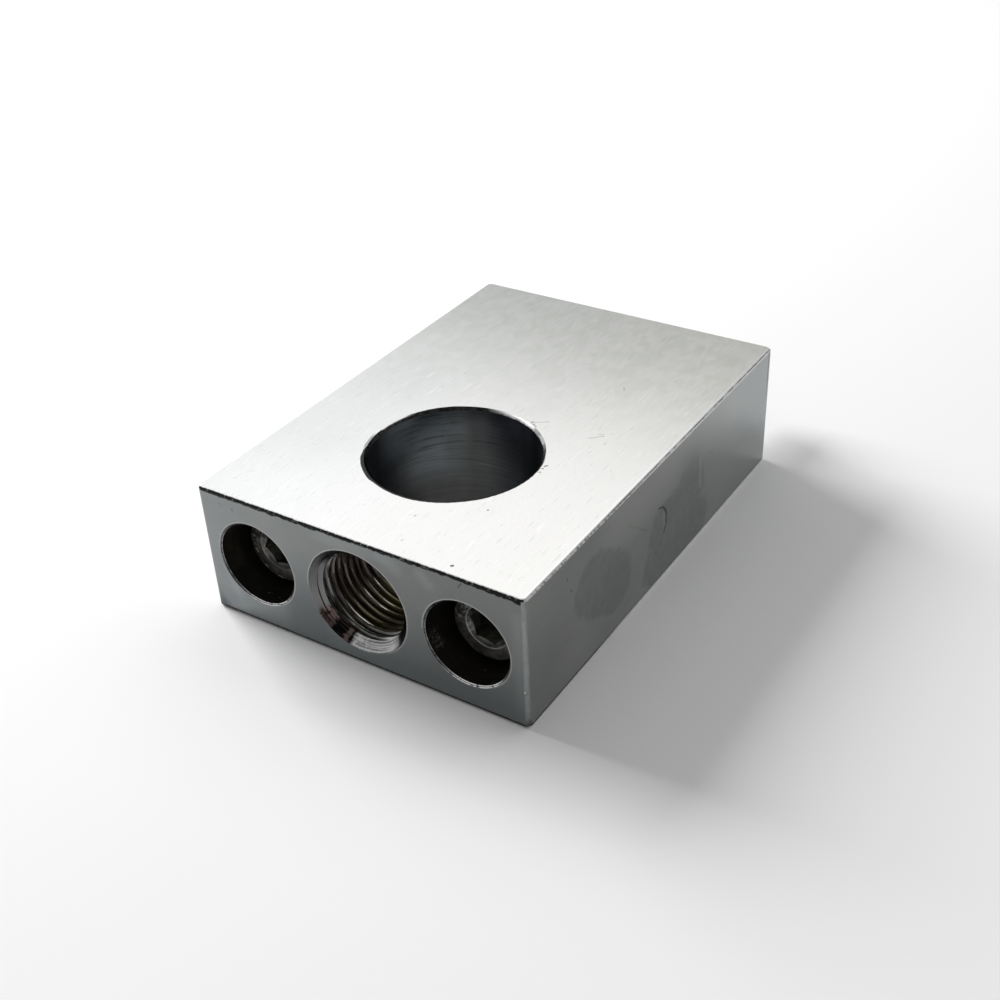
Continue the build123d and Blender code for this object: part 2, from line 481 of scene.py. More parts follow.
def satinEnds():
    # the front and back faces, lighter on the left and darker toward the right, a painted gradient of light
    # and shade
    look, plan = endLook, blockPlan
    material, tree, shader = startMaterial("satinEnds")
    x, y, z = axes(tree)
    fine = grain(tree, (1.6, 1.6, 6.0))
    clouds = grain(tree, (0.10, 0.10, 0.14))
    nibbled = grain(tree, 1.1)
    # painted light and shade: lighter on the left, darker toward the right
    colour = blendColour(tree, spread(tree, x, -28, 15), look["left"], look["right"])
    colour = tint(tree, spread(tree, clouds, 0.38, 0.62), colour, (0.93, 0.94, 0.94))
    colour = tint(tree, spread(tree, z, 6, -8), colour, (0.975, 1.0, 1.02))
    lowPart = both(tree, spread(tree, z, 7, -4), spread(tree, z, -13, -6, 0.2, 1.0))
    colour = tint(tree, both(tree, band(tree, x, -11, 3, 3), lowPart), colour, (0.70, 0.71, 0.72))
    lowLeft = both(tree, spread(tree, x, -26, -30), spread(tree, z, -7, -11))
    colour = tint(tree, lowLeft, colour, (0.38, 0.40, 0.43))
    overPort = both(tree, band(tree, x, 0, 5, 6), spread(tree, z, 9.5, 10.5))
    colour = tint(tree, overPort, colour, (1.16, 1.17, 1.17))
    colour = tint(tree, spread(tree, z, -9, -11), colour, (1.10, 1.11, 1.12))
    colour = tint(tree, spread(tree, fine, 0.35, 0.65), colour, 0.96)
    front = spread(tree, y, 0, -1)
    flat = flatSpace(tree, x, z)
    for strokes, soft, finish in ((frontStreaks, 1.5, "streak"), (frontMarks, 0.12, "mark")):
        drawn = both(tree, front, drawStrokes(tree, flat, strokes, soft))
        colour = blendColour(tree, drawn, colour, look[finish])
    # painted highlights on the lips round the holes, strongest above, and a painted shadow right at their
    # upper edge
    sideways = both(tree, calc(tree, "SIGN", x), plan["counterboreCentre"])
    outer = calc(tree, "GREATER_THAN", calc(tree, "ABSOLUTE", x), plan["betweenHoles"])
    centred = calc(tree, "SUBTRACT", x, both(tree, outer, sideways))
    radius, angle = polar(tree, centred, z)
    rim = spread(tree, outer, 0, 1, plan["portRim"], plan["counterboreRim"])
    past = calc(tree, "SUBTRACT", wobbled(tree, radius, nibbled, 0.10), rim)
    upper = band(tree, angle, 85, 55, 35)
    lipHighlight = both(tree, band(tree, past, 0.14, 0.05, 0.08), both(tree, band(tree, angle, 65, 105, 25), 0.85))
    colour = blendColour(tree, both(tree, front, lipHighlight), colour, look["lipHighlight"])
    lipShadow = both(tree, both(tree, front, upper), spread(tree, past, 0.07, 0.02))
    colour = blendColour(tree, lipShadow, colour, look["lipShadow"])
    # the dark line along the foot, a painted contact shadow, and the ragged black strip under the top edge,
    # partly painted shade
    low = wobbled(tree, z, nibbled, 0.25)
    colour = blendColour(tree, band(tree, low, look["footLineAt"], 0.16, 0.08), colour, look["footLine"])
    ragged = wobbled(tree, z, nibbled, 0.9)
    ragged = calc(tree, "ADD", ragged, spread(tree, x, 18, 31, 0.0, 0.34))
    ragged = calc(tree, "SUBTRACT", ragged, spread(tree, x, -6, 4, 0.0, 0.10))
    colour = blendColour(tree, spread(tree, ragged, *look["stripFrom"]), colour, look["strip"])
    finishMaterial(tree, shader, colour, (clouds, 0.27, 0.33), fine, 0.001)
    return material


edgeLook = {
    "black": grey(0.018), "scuffed": grey(0.15), "rimHighlight": grey(0.96), "rimHighlightFrom": (12.36, 12.43),
    "pale": grey(0.96), "nibbled": grey(0.60), "near": grey(0.66), "tick": grey(0.20),
    "topLine": (0.10, 0.105, 0.09, 1), "topLineAt": 12.30,
    "topHighlight": grey(0.98), "topHighlightFrom": (12.36, 12.41),
    "uprightDark": (0.220, 0.232, 0.226, 1), "uprightLight": (0.275, 0.287, 0.281, 1),
    "uprightRear": grey(0.48), "uprightHighlight": grey(0.36), "uprightHighlightAt": 31.72,
    "nick": grey(0.7), "nickAt": (31.2, -5.2), "uprightFootShade": grey(0.07),
}


def darkEdge():
    # the broken edges of the front and back: near black, partly painted shade, and rough
    look = edgeLook
    material, tree, shader = startMaterial("darkEdge", 0.9)
    shader.inputs["Specular Tint"].default_value = grey(0.4)
    y, z = axes(tree)[1:]
    nibbled = grain(tree, 1.5, 4)
    colour = blendColour(tree, spread(tree, nibbled, 0.54, 0.66), look["black"], look["scuffed"])
    # a painted highlight along the top of the edge
    upperRimHighlight = spread(tree, wobbled(tree, z, nibbled, 0.16), *look["rimHighlightFrom"])
    atFront = spread(tree, y, 0, -1)
    colour = blendColour(tree, both(tree, atFront, upperRimHighlight), colour, look["rimHighlight"])
    finishMaterial(tree, shader, colour, (nibbled, 0.35, 0.50), nibbled, 0.02)
    return material


def paleEdge():
    # the broken edges of the long sides: bright, with dark nibbles and a thin dark line under the top
    look = edgeLook
    material, tree, shader = startMaterial("paleEdge", 0.30)
    y, z = axes(tree)[1:]
    nibbled = grain(tree, (2.6, 1.3, 2.6), 4)
    ticks = grain(tree, (0.8, 4.2, 0.8), 2, offset=(4, 2, 0))
    colour = blendColour(tree, spread(tree, nibbled, 0.60, 0.70), look["pale"], look["nibbled"])
    near = spread(tree, y, 12, -4)
    colour = blendColour(tree, near, colour, look["near"])
    colour = blendColour(tree, both(tree, near, spread(tree, ticks, 0.50, 0.60)), colour, look["tick"])
    broken = spread(tree, grain(tree, (0.3, 0.5, 0.3), offset=(8, 1, 2)), 0.34, 0.50, 0.3, 1.0)
    shakenZ = wobbled(tree, z, nibbled, 0.08)
    away = both(tree, broken, spread(tree, y, -15, 0))
    topLine = both(tree, band(tree, shakenZ, look["topLineAt"], 0.03, 0.06), away)
    colour = blendColour(tree, topLine, colour, look["topLine"])
    # a painted highlight along the top
    colour = blendColour(tree, spread(tree, shakenZ, *look["topHighlightFrom"]), colour, look["topHighlight"])
    finishMaterial(tree, shader, colour, (nibbled, 0.28, 0.40), nibbled, 0.006)
    return material


def uprightEdge():
    # the rounded upright edges, dull and ragged at the front
    look = edgeLook
    material, tree, shader = startMaterial("uprightEdge")
    x, y, z = axes(tree)
    nibbled = grain(tree, (1.2, 1.2, 0.5))
    colour = blendColour(tree, spread(tree, nibbled, 0.36, 0.64), look["uprightDark"], look["uprightLight"])
    colour = blendColour(tree, spread(tree, y, 10, 11), colour, look["uprightRear"])
    # a painted highlight down the front right upright
    uprightHighlight = both(tree, band(tree, x, look["uprightHighlightAt"], 0.10, 0.20), band(tree, z, 1, 7, 5))
    uprightHighlight = both(tree, uprightHighlight, spread(tree, nibbled, 0.30, 0.60, 0.15, 0.6))
    colour = blendColour(tree, uprightHighlight, colour, look["uprightHighlight"])
    nickX, nickZ = look["nickAt"]
    nick = both(tree, band(tree, x, nickX, 0.2, 0.1), band(tree, z, nickZ, 0.12, 0.1))
    colour = blendColour(tree, nick, colour, look["nick"])
    # painted shade toward the foot
    low = spread(tree, wobbled(tree, z, nibbled, 1.0), -10.5, -11.8)
    colour = blendColour(tree, both(tree, low, 0.8), colour, look["uprightFootShade"])
    finishMaterial(tree, shader, colour, (nibbled, 0.42, 0.52), nibbled, 0.006)
    return material


boreLook = {
    "lower": (0.34, 0.345, 0.335, 1), "upper": (0.39, 0.395, 0.39, 1), "lit": (0.66, 0.72, 0.75, 1),
    "upperLeft": (0.60, 0.67, 0.71, 1), "palest": (0.84, 0.90, 0.93, 1),
    "paleRing": grey(0.60), "thinRings": (5.6, 6.9, 9.6, 10.7),
}


def boredSteel():
    # the shaft bore: rings round a dark wall, with painted light in lighter, bluer patches on its left and
    # painted shade on its near left, under its rim and at its far right
    look = boreLook
    material, tree, shader = startMaterial("boredSteel")
    x, y, z = axes(tree)
    fromLeft = calc(tree, "ABSOLUTE", degrees(tree, y, calc(tree, "MULTIPLY", x, -1.0)))
    away = wobbled(tree, fromLeft, grain(tree, 0.2, 2), 14)
    rings = grain(tree, (0.05, 0.05, 2.0), 3, 0.6)
    dashes = grain(tree, (0.14, 0.14, 3.0), 3, 0.6, offset=(4, 1, 2))
    left = both(tree, spread(tree, away, 66, 44), spread(tree, away, 8, 26))
    # painted light on the left wall: a lit band, a lit upper left and a palest patch; painted shade low on
    # the left and at its left end
    lit = band(tree, wobbled(tree, z, dashes, 2.0), 3.0, 2.0, 4.0)
    colour = blendColour(tree, spread(tree, z, -5, 1), look["lower"], look["upper"])
    colour = blendColour(tree, both(tree, left, lit), colour, look["lit"])
    upperLeft = both(tree, spread(tree, away, 66, 50), spread(tree, z, 4, 7))
    colour = blendColour(tree, upperLeft, colour, look["upperLeft"])
    lowLeft = both(tree, spread(tree, fromLeft, 34, 14), spread(tree, z, 2, -4))
    colour = tint(tree, lowLeft, colour, (0.40, 0.40, 0.42))
    leftEnd = both(tree, spread(tree, away, 20, 4), spread(tree, z, 9, 5))
    colour = tint(tree, leftEnd, colour, (0.55, 0.58, 0.62))
    palest = both(tree, band(tree, fromLeft, 36, 6, 8), band(tree, z, 4.5, 2, 2))
    colour = blendColour(tree, both(tree, palest, 0.7), colour, look["palest"])
    # painted shade on the near left, toward the top rim and at the far right
    nearLeft = spread(tree, x, -8, -10)
    shadedY = wobbled(tree, y, grain(tree, (0.25, 0.25, 0.12), 2), 2.5)
    colour = tint(tree, both(tree, nearLeft, spread(tree, shadedY, 3.0, -3.0)), colour, (0.14, 0.14, 0.15))
    colour = tint(tree, both(tree, nearLeft, spread(tree, y, -3, -6)), colour, 0.5)
    underRim = both(tree, band(tree, fromLeft, 60, 28, 10), spread(tree, z, 8.5, 11.5))
    colour = tint(tree, underRim, colour, (0.40, 0.41, 0.43))
    for start, end, strength in ((104, 122, (0.12, 0.13, 0.15)), (76, 92, (0.62, 0.66, 0.74)),
                                 (92, 110, (0.62, 0.62, 0.64))):
        colour = tint(tree, spread(tree, fromLeft, start, end), colour, strength)
    shade = both(tree, band(tree, fromLeft, 88, 20, 8), spread(tree, z, 2, 8, 0.35, 1.0))
    colour = tint(tree, shade, colour, (0.64, 0.67, 0.70))
    colour = tint(tree, spread(tree, rings, 0.42, 0.64), colour, (0.88, 0.885, 0.89))
    dashed = both(tree, both(tree, left, spread(tree, z, 0, 5)), spread(tree, dashes, 0.52, 0.58))
    colour = tint(tree, dashed, colour, (0.62, 0.64, 0.66))
    # one wide ring, lower toward the right
    ringHeight = spread(tree, fromLeft, 12, 90, 2.6, 0.5)
    fromRing = calc(tree, "SUBTRACT", wobbled(tree, z, dashes, 0.5), ringHeight)
    middle = band(tree, fromLeft, 58, 24, 18)
    darkRing = both(tree, middle, band(tree, fromRing, 0.35, 0.08, 0.14))
    colour = tint(tree, darkRing, colour, (0.80, 0.80, 0.81))
    paleRing = both(tree, middle, band(tree, fromRing, -0.05, 0.08, 0.14))
    colour = blendColour(tree, both(tree, paleRing, 0.22), colour, look["paleRing"])
    shortDashes = spread(tree, grain(tree, (0.35, 0.35, 0.5), 2, offset=(5, 2, 7)), 0.44, 0.54)
    for height in look["thinRings"]:
        ring = band(tree, wobbled(tree, z, dashes, 0.8), height, 0.05, 0.12)
        ring = both(tree, both(tree, ring, shortDashes), band(tree, fromLeft, 62, 20, 14))
        colour = tint(tree, ring, colour, (0.68, 0.68, 0.69))
    finishMaterial(tree, shader, colour, (rings, 0.38, 0.50), rings, 0.008)
    return material


rimLook = {
    "dark": grey(0.012), "scuffed": grey(0.04), "crescentDim": grey(0.05), "crescentEnd": grey(0.15),
    "crescentInner": grey(0.34), "crescentOuter": grey(0.85), "leftEnd": grey(0.85),
    "broken": (grey(0.14), grey(0.30)), "flecks": (grey(0.98), grey(0.25)),
    "groove": grey(0.02), "grooveBehind": 0.14,
}


def boreRim():
    # the bore's edge: dark, with a painted highlight crescent at the back right and a painted highlight at
    # its left end
    look = rimLook
    material, tree, shader = startMaterial("boreRim")
    shader.inputs["Specular Tint"].default_value = grey(0.12)
    x, y = axes(tree)[:2]
    nibbled = grain(tree, 1.2, 4)
    radius, angle = polar(tree, x, y)
    ragged = wobbled(tree, radius, nibbled, 0.20)
    bright = both(tree, band(tree, angle, 64, 23, 15), spread(tree, ragged, 14.98, 15.14))
    colour = blendColour(tree, spread(tree, nibbled, 0.4, 0.6), look["dark"], look["scuffed"])
    crescent = blendColour(tree, spread(tree, angle, 52, 40), look["crescentDim"], look["crescentEnd"])
    outward = spread(tree, radius, 15.20, 15.38)
    outward = blendColour(tree, outward, look["crescentInner"], look["crescentOuter"])
    crescent = blendColour(tree, spread(tree, angle, 58, 80), crescent, outward)
    colour = blendColour(tree, bright, colour, crescent)
    # a painted highlight at the left end
    leftEnd = both(tree, band(tree, angle, 171, 12, 8), spread(tree, ragged, 15.33, 15.48))
    colour = blendColour(tree, leftEnd, colour, look["leftEnd"])
    finishMaterial(tree, shader, colour, (nibbled, 0.30, 0.40), nibbled, 0.008)
    return material


def counterboreRim():
    # broken edges of the counterbores: bright flecks below, which are painted highlights, a dark groove,
    # wider at the left
    look, plan = rimLook, blockPlan
    material, tree, shader = startMaterial("counterboreRim")
    x, y, z = axes(tree)
    nibbled = grain(tree, 1.4, 4)
    sideways = both(tree, calc(tree, "SIGN", x), plan["counterboreCentre"])
    angle = wobbled(tree, degrees(tree, z, calc(tree, "SUBTRACT", x, sideways)), nibbled, 30)
    below = band(tree, angle, -80, 25, 30)
    colour = blendColour(tree, spread(tree, nibbled, 0.4, 0.6), *look["broken"])
    # painted highlights: bright flecks on the lower rim
    highlightFlecks = blendColour(tree, spread(tree, nibbled, 0.50, 0.62), *look["flecks"])
    colour = blendColour(tree, below, colour, highlightFlecks)
    shakenY = wobbled(tree, y, nibbled, 0.16)
    grooveY = plan["front"] + look["grooveBehind"]
    fine, wide = (band(tree, shakenY, grooveY, half, 0.04) for half in (0.03, 0.07))
    groove = calc(tree, "MAXIMUM", fine, both(tree, band(tree, angle, -138, 20, 15), wide))
    colour = blendColour(tree, both(tree, groove, 0.85), colour, look["groove"])
    finishMaterial(tree, shader, colour, (nibbled, 0.25, 0.40), nibbled, 0.006)
    return material


holeLook = {
    "brownOil": (0.060, 0.050, 0.040, 1), "greenOil": (0.034, 0.040, 0.036, 1),
    "patch": (0.26, 0.27, 0.25, 1), "patchAt": (13.9, -27.5, -3.0),
    "faint": (0.10, 0.09, 0.07, 1), "faintAt": (-28.3, -27.2), "dropGlint": grey(0.5),
}

# painted glints on drops of oil low in the counterbores, in X and Y
holeSpecks = (
    ((-21.9, -27.1), (-21.5, -27.0), 0.10, 0.5),
    ((-21.2, -26.9), (-21.1, -26.9), 0.10, 0.35),
    ((-19.2, -27.4), (-18.9, -27.4), 0.14, 0.9),
    ((21.5, -25.6), (21.6, -25.6), 0.10, 0.4),
    ((24.9, -28.6), (25.1, -28.6), 0.12, 0.5),
    ((25.6, -28.7), (25.7, -28.6), 0.10, 0.4),
)


def holeSteel():
    # counterbores and shank holes: brown and green oil over dark steel
    look = holeLook
    material, tree, shader = startMaterial("holeSteel", 0.9)
    x, y, z = axes(tree)
    rings = grain(tree, (0.15, 2.5, 0.15))
    oil = grain(tree, 0.22)
    specks = grain(tree, 2.6)
    colour = blendColour(tree, spread(tree, oil, 0.42, 0.58), look["brownOil"], look["greenOil"])
    colour = tint(tree, spread(tree, rings, 0.35, 0.65), colour, 0.7)
    patchX, patchY, patchZ = look["patchAt"]
    patch = both(tree, spread(tree, specks, 0.46, 0.60), band(tree, x, patchX, 0.6, 0.5))
    patch = both(tree, patch, both(tree, band(tree, y, patchY, 0.7, 0.8), band(tree, z, patchZ, 1.0, 1.4)))
    colour = blendColour(tree, patch, colour, look["patch"])
    faintX, faintY = look["faintAt"]
    faint = both(tree, band(tree, x, faintX, 0.5, 0.5), band(tree, y, faintY, 0.8, 1.0))
    colour = blendColour(tree, both(tree, faint, spread(tree, oil, 0.40, 0.60)), colour, look["faint"])
    # painted glints on the oil drops
    glintingDrops = drawStrokes(tree, flatSpace(tree, x, y, 0.2), holeSpecks, 0.08)
    colour = blendColour(tree, both(tree, glintingDrops, spread(tree, z, -5.5, -6.5)), colour, look["dropGlint"])
    finishMaterial(tree, shader, colour, (rings, 0.40, 0.55), specks, 0.008)
    return material


mouthLook = {
    "smooth": (grey(0.15), grey(0.19)), "bright": (grey(0.22), grey(0.64)), "glare": grey(0.66),
    "stained": ((0.040, 0.028, 0.025, 1), (0.21, 0.155, 0.145, 1)),
    "black": (grey(0.004), (0.04, 0.03, 0.028, 1)), "brownStain": (0.12, 0.085, 0.08, 1),
    "shadow": grey(0.02),
}


def turnedMouth():
    # the port's cone with rings from the countersink: smooth, then stained, then black, which is painted
    # shade, then bright, which is a painted reflection
    look = mouthLook
    material, tree, shader = startMaterial("turnedMouth")
    shader.inputs["Specular Tint"].default_value = grey(0.6)
    x, y, z = axes(tree)
    rings = grain(tree, (0.10, 4.8, 0.10), 3, 0.6)
    streaks = grain(tree, (1.8, 0.25, 1.8), 3, 0.6)
    shaken = grain(tree, (0.6, 2.4, 0.6))
    angle = wobbled(tree, degrees(tree, z, x), shaken, 10)
    colour = blendColour(tree, spread(tree, rings, 0.40, 0.60), *look["smooth"])
    bright = blendColour(tree, spread(tree, rings, 0.42, 0.58), *look["bright"])
    glare = both(tree, spread(tree, angle, -78, -94), spread(tree, streaks, 0.48, 0.60))
    bright = blendColour(tree, glare, bright, look["glare"])
    bright = tint(tree, spread(tree, streaks, 0.46, 0.38), bright, 0.82)
    stained = blendColour(tree, spread(tree, rings, 0.42, 0.58), *look["stained"])
    stained = tint(tree, spread(tree, streaks, 0.52, 0.58), stained, 0.25)
    black = blendColour(tree, spread(tree, rings, 0.50, 0.60), *look["black"])
    black = blendColour(tree, band(tree, angle, -112, 2, 2), black, look["brownStain"])
    # painted shade in the black and shadow zones, a painted reflection in the bright zone
    for middle, half, soft, finish in ((-139, 9, 5, stained), (-116, 13, 3, black), (-70, 32, 4, bright),
                                       (10, 40, 8, look["shadow"])):
        colour = blendColour(tree, band(tree, angle, middle, half, soft), colour, finish)
    inner = spread(tree, wobbled(tree, y, shaken, 0.3), -28.9, -28.6)
    colour = blendColour(tree, both(tree, inner, band(tree, angle, 95, 45, 15)), colour, look["shadow"])
    finishMaterial(tree, shader, colour, (rings, 0.24, 0.38), rings, 0.012)
    return material


threadLook = {
    "brown": ((0.058, 0.040, 0.035, 1), (0.085, 0.064, 0.054, 1)),
    "olive": ((0.050, 0.043, 0.012, 1), (0.074, 0.066, 0.022, 1)),
    "root": (0.21, 0.19, 0.13, 1), "worn": (0.21, 0.195, 0.135, 1), "line": (0.24, 0.22, 0.20, 1),
    "silver": grey(0.80), "firstTurns": (0.30, 0.31, 0.30, 1), "glint": (0.85, 0.84, 0.78, 1),
    "linesPerTurn": 3.6, "linesPerDegree": 0.022, "silverPerTurn": 2.0,
}

# bright arcs on the thread, as turns from its start, angle, half angle and strength
threadGlints = (
    (3.50, -119, 19, 0.9), (3.46, -112, 8, 1.0), (2.47, -115, 11, 0.3), (2.46, -136, 7, 0.1),
    (4.48, -131, 3, 0.12), (5.48, -131, 3, 0.10), (6.50, -120, 17, 0.12), (6.54, -131, 3, 0.7),
    (6.48, -105, 3, 0.7), (7.50, -121, 18, 0.10), (7.47, -105, 5, 0.4), (8.50, -127, 13, 0.12),
    (8.52, -134, 3, 0.7), (2.50, -84, 20, 0.45), (2.08, -82, 22, 0.35), (3.50, -74, 14, 0.25),
)


def oiledThread():
    # dark oil over the thread, brown above and olive below, with fine light lines along its turns
    look, plan = threadLook, portThread
    material, tree, shader = startMaterial("oiledThread", 0.75)
    x, y, z = axes(tree)
    # helix counts the turns from the thread's start
    turn = calc(tree, "DIVIDE", calc(tree, "ARCTAN2", calc(tree, "MULTIPLY", z, -1.0), x), 2 * math.pi)
    along = calc(tree, "DIVIDE", calc(tree, "SUBTRACT", y, plan["start"]), plan["pitch"])
    shaken = grain(tree, (0.5, 1.2, 0.5))
    stain = grain(tree, 0.16)
    helix = wobbled(tree, calc(tree, "SUBTRACT", along, turn), shaken, 0.12)
    phase = calc(tree, "FRACT", helix)
    angle = degrees(tree, z, x)
    wound = addNode(tree, "CombineXYZ", {0: both(tree, helix, look["linesPerTurn"]),
                                         1: both(tree, angle, look["linesPerDegree"])})
    noise = addNode(tree, "TexNoise", {"Vector": wound.outputs[0], "Scale": 1.0, "Detail": 3.0})
    turnLines = noise.outputs["Fac"]
    patches = spread(tree, grain(tree, (0.25, 0.6, 0.25), offset=(1, 2, 6)), 0.40, 0.62, 0.1, 1.0)
    brown = blendColour(tree, spread(tree, stain, 0.42, 0.58), *look["brown"])
    olive = blendColour(tree, spread(tree, stain, 0.42, 0.58), *look["olive"])
    lowRight = spread(tree, calc(tree, "SUBTRACT", wobbled(tree, x, stain, 8), z), -2, 5)
    colour = blendColour(tree, lowRight, brown, olive)
    colour = tint(tree, spread(tree, turnLines, 0.48, 0.42), colour, (0.50, 0.48, 0.46))
    # painted light lifts the roots out of their shade
    root = calc(tree, "MAXIMUM", spread(tree, phase, 0.80, 0.90), spread(tree, phase, 0.16, 0.08))
    colour = blendColour(tree, both(tree, root, 0.6), colour, look["root"])
    upperLeft = spread(tree, lowRight, 0, 1, 0.75, 0.30)
    paleLines = both(tree, upperLeft, spread(tree, turnLines, 0.54, 0.58))
    colour = blendColour(tree, paleLines, colour, look["line"])
    worn = both(tree, band(tree, phase, 0.48, 0.02, 0.04), both(tree, patches, 0.35))
    colour = blendColour(tree, worn, colour, look["worn"])
    deep = both(tree, spread(tree, y, -25, -20), band(tree, angle, 175, 20, 30))
    colour = tint(tree, deep, colour, (0.45, 0.43, 0.42))
    # silver lines low in the mouth, which are painted highlights, and pale first turns at its upper left
    mouth = both(tree, spread(tree, y, -24.8, -25.8), band(tree, angle, -82, 34, 10))
    colour = tint(tree, mouth, colour, 0.45)
    fineTurns = calc(tree, "FRACT", both(tree, helix, look["silverPerTurn"]))
    silver = both(tree, band(tree, fineTurns, 0.5, 0.08, 0.10), spread(tree, patches, 0.1, 0.6, 0.5, 1.0))
    colour = blendColour(tree, both(tree, mouth, silver), colour, look["silver"])
    atLeft = band(tree, calc(tree, "ABSOLUTE", angle), 165, 35, 15)
    firstTurns = both(tree, spread(tree, y, -24.5, -26.5), atLeft)
    firstTurns = both(tree, firstTurns, spread(tree, turnLines, 0.50, 0.55))
    colour = blendColour(tree, firstTurns, colour, look["firstTurns"])
    for centre, middle, half, strength in threadGlints:
        glint = both(tree, band(tree, helix, centre, 0.022, 0.045), band(tree, angle, middle, half, 5))
        colour = blendColour(tree, both(tree, glint, strength), colour, look["glint"])
    finishMaterial(tree, shader, colour, (turnLines, 0.28, 0.42), turnLines, 0.004)
    return material


# a screw's head: heights of its faces, distances of its edges from its axis, and colours
headLook = {
    "headTop": -24.0, "socketFloor": -19.85,
    "socketEdge": 3.96, "bevelEdge": 6.03, "socketWalls": (3.7, 3.5),
    "shank": (grey(0.06), grey(0.12)), "head": ((0.13, 0.12, 0.11, 1), (0.20, 0.19, 0.175, 1)),
    "mottleDark": (0.04, 0.038, 0.034, 1), "mottleLight": (0.34, 0.34, 0.30, 1),
    "cone": ((0.026, 0.026, 0.022, 1), (0.050, 0.050, 0.043, 1)), "coneWorn": (0.14, 0.14, 0.128, 1),
    "walls": ((0.11, 0.11, 0.10, 1), (0.21, 0.21, 0.185, 1)), "floor": (0.14, 0.14, 0.12, 1),
    "ring": (0.3232, 0.32, 0.3168, 1), "nick": grey(0.95),
}

# bright nicks on the left screw's head, across and up from its axis
headNicks = (
    ((-5.2, -1.5), (-4.9, -2.1), 0.22, 0.8),
    ((-3.6, -4.4), (-3.2, -4.6), 0.25, 0.9),
    ((-0.9, -5.8), (-0.2, -5.9), 0.2, 0.7),
)


def darkScrewSteel():
    # blackened screws, their heads rubbed to a brownish grey, mottled on one side
    look = headLook
    material, tree, shader = startMaterial("darkScrewSteel", 0.92)
    x, y, z = axes(tree)
    mottled = grain(tree, 0.9, 4)
    rubbed = grain(tree, (1.3, 0.6, 1.3), offset=(3, 5, 7))
    # across and up from the axis of whichever screw a point is on
    side = calc(tree, "SIGN", x)
    (leftX, leftZ), (rightX, rightZ) = screwThread["centres"]
    middleX = wobbled(tree, (leftX + rightX) / 2, spread(tree, side, -1, 1), rightX - leftX)
    middleZ = wobbled(tree, (leftZ + rightZ) / 2, spread(tree, side, -1, 1), rightZ - leftZ)
    acrossX = calc(tree, "SUBTRACT", x, middleX)
    acrossZ = calc(tree, "SUBTRACT", z, middleZ)
    radius = polar(tree, acrossX, acrossZ)[0]
    top = look["headTop"]
    onTop = spread(tree, y, top + 0.45, top + 0.3)
    colour = blendColour(tree, spread(tree, mottled, 0.35, 0.65), *look["shank"])
    head = blendColour(tree, spread(tree, mottled, 0.38, 0.62), *look["head"])
    upperLeft = spread(tree, calc(tree, "SUBTRACT", acrossZ, acrossX), 1.5, 5.5)
    for low, high, mottle in ((0.46, 0.54, "mottleDark"), (0.40, 0.34, "mottleLight")):
        head = blendColour(tree, both(tree, upperLeft, spread(tree, rubbed, low, high)), head, look[mottle])
    colour = blendColour(tree, onTop, colour, head)
    # the socket's lead-in cone, its walls and its floor
    leadIn = both(tree, spread(tree, radius, 4.02, 3.92), spread(tree, y, top + 0.42, top + 0.3))
    cone = blendColour(tree, spread(tree, mottled, 0.35, 0.60), *look["cone"])
    lowerRight = spread(tree, calc(tree, "SUBTRACT", acrossX, acrossZ), 4.9, 5.5)
    worn = calc(tree, "MAXIMUM", spread(tree, acrossX, -2.4, -3.2), lowerRight)
    cone = blendColour(tree, both(tree, worn, spread(tree, rubbed, 0.62, 0.42)), cone, look["coneWorn"])
    colour = blendColour(tree, leadIn, colour, cone)
    inSocket = spread(tree, radius, *look["socketWalls"])
    walls = blendColour(tree, spread(tree, mottled, 0.38, 0.60), *look["walls"])
    colour = blendColour(tree, both(tree, inSocket, spread(tree, y, top + 0.50, top + 0.62)), colour, walls)
    # painted light on the socket's floor
    atFloor = spread(tree, y, look["socketFloor"] - 0.1, look["socketFloor"])
    colour = blendColour(tree, both(tree, atFloor, inSocket), colour, look["floor"])
    # painted highlights along the socket's edge and the bevel's edge
    for ring, leftShare, rightShare in ((look["socketEdge"], 0.2, 0.85), (look["bevelEdge"], 0.4, 0.5)):
        line = band(tree, wobbled(tree, radius, mottled, 0.16), ring, 0.04, 0.10)
        share = both(tree, line, spread(tree, side, -1, 1, leftShare, rightShare))
        colour = blendColour(tree, both(tree, onTop, share), colour, look["ring"])
    across = addNode(tree, "CombineXYZ", {0: acrossX, 1: acrossZ}).outputs[0]
    nicks = both(tree, drawStrokes(tree, across, headNicks, 0.15), onTop)
    colour = blendColour(tree, both(tree, nicks, spread(tree, side, 0, -1)), colour, look["nick"])
    finishMaterial(tree, shader, colour, (mottled, 0.28, 0.42), mottled, 0.01)
    return material


